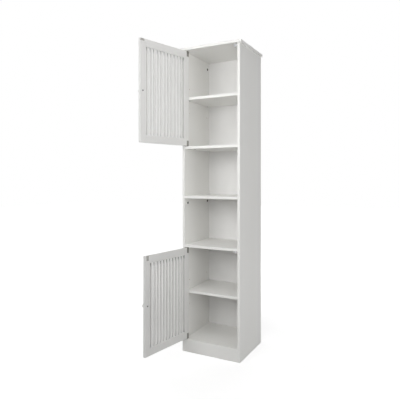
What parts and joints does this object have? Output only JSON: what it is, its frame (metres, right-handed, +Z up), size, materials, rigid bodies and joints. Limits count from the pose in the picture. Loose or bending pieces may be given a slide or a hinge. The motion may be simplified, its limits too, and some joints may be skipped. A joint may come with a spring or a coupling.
{
  "type": "bathroom cabinet",
  "caption": "Tall slim white bathroom cabinet with a plinth, open bays in the middle and slatted pivot-hinged doors above and below.",
  "frame": {"origin": "middle of the plinth at the floor, on the front plane of the carcass", "axes": "+Z up, +Y from the front plane to the wall, +X to the right as seen from the front"},
  "size_m": [0.4845, 0.6356, 1.8],
  "materials": {
    "panel_white": "satin white laminate",
    "door_white": "satin white paint",
    "back_board": "satin white foil",
    "hinge_steel": "dark plated",
    "cam_zinc": "dark cast zinc",
    "bolt_steel": "zinc plated",
    "dowel_wood": "bare beech",
    "catch_plastic": "white",
    "magnet_dark": "plated",
    "knob_white": "gloss white paint"
  },
  "bodies": {
    "cabinet": {"top_panel": "panel_white", "left_side_upper": "panel_white", "left_side_lower": "panel_white", "right_side_upper": "panel_white", "right_side_lower": "panel_white", "bottom_panel": "panel_white", "lower_fixed_shelf": "panel_white", "middle_fixed_shelf": "panel_white", "upper_fixed_shelf": "panel_white", "lower_adjustable_shelf": "panel_white", "upper_adjustable_shelf": "panel_white", "plinth_front": "panel_white", "plinth_rear": "panel_white", "back_panel_upper": "back_board", "back_panel_lower": "back_board", "side_cam_locks": "cam_zinc", "side_cam_bolts": "bolt_steel", "shelf_cam_locks": "cam_zinc", "shelf_cam_bolts": "bolt_steel", "wood_dowels": "dowel_wood", "shelf_pins": "bolt_steel", "cabinet_screws": "hinge_steel", "back_panel_screws": "bolt_steel", "upper_door_top_pivot_plate": "hinge_steel", "upper_door_bottom_pivot_plate": "hinge_steel", "lower_door_top_pivot_plate": "hinge_steel", "lower_door_bottom_pivot_plate": "hinge_steel", "upper_catch_housing": "catch_plastic", "upper_catch_magnet": "magnet_dark", "lower_catch_housing": "catch_plastic", "lower_catch_magnet": "magnet_dark"},
    "upper_door": {"upper_door_hinge_stile": "door_white", "upper_door_free_stile": "door_white", "upper_door_top_rail": "door_white", "upper_door_bottom_rail": "door_white", "upper_door_slats": "door_white", "upper_door_knob": "knob_white", "upper_door_dowels": "dowel_wood", "upper_door_top_bracket": "hinge_steel", "upper_door_bottom_bracket": "hinge_steel", "upper_door_knob_screw": "hinge_steel", "upper_door_strike_plate": "hinge_steel", "upper_door_screws": "hinge_steel"},
    "lower_door": {"lower_door_hinge_stile": "door_white", "lower_door_free_stile": "door_white", "lower_door_top_rail": "door_white", "lower_door_bottom_rail": "door_white", "lower_door_slats": "door_white", "lower_door_knob": "knob_white", "lower_door_dowels": "dowel_wood", "lower_door_top_bracket": "hinge_steel", "lower_door_bottom_bracket": "hinge_steel", "lower_door_knob_screw": "hinge_steel", "lower_door_strike_plate": "hinge_steel", "lower_door_screws": "hinge_steel"}
  },
  "joints": [
    {"name": "upper_door_hinge", "type": "hinge", "parent": "cabinet", "child": "upper_door", "pos_m": [-0.16203, 0.0075, 1.5], "axis": [0, 0, 1], "range_deg": [-1.5, 107.5]},
    {"name": "lower_door_hinge", "type": "hinge", "parent": "cabinet", "child": "lower_door", "pos_m": [-0.16203, 0.0075, 0.35], "axis": [0, 0, 1], "range_deg": [-8.5, 100.5]}
  ]
}
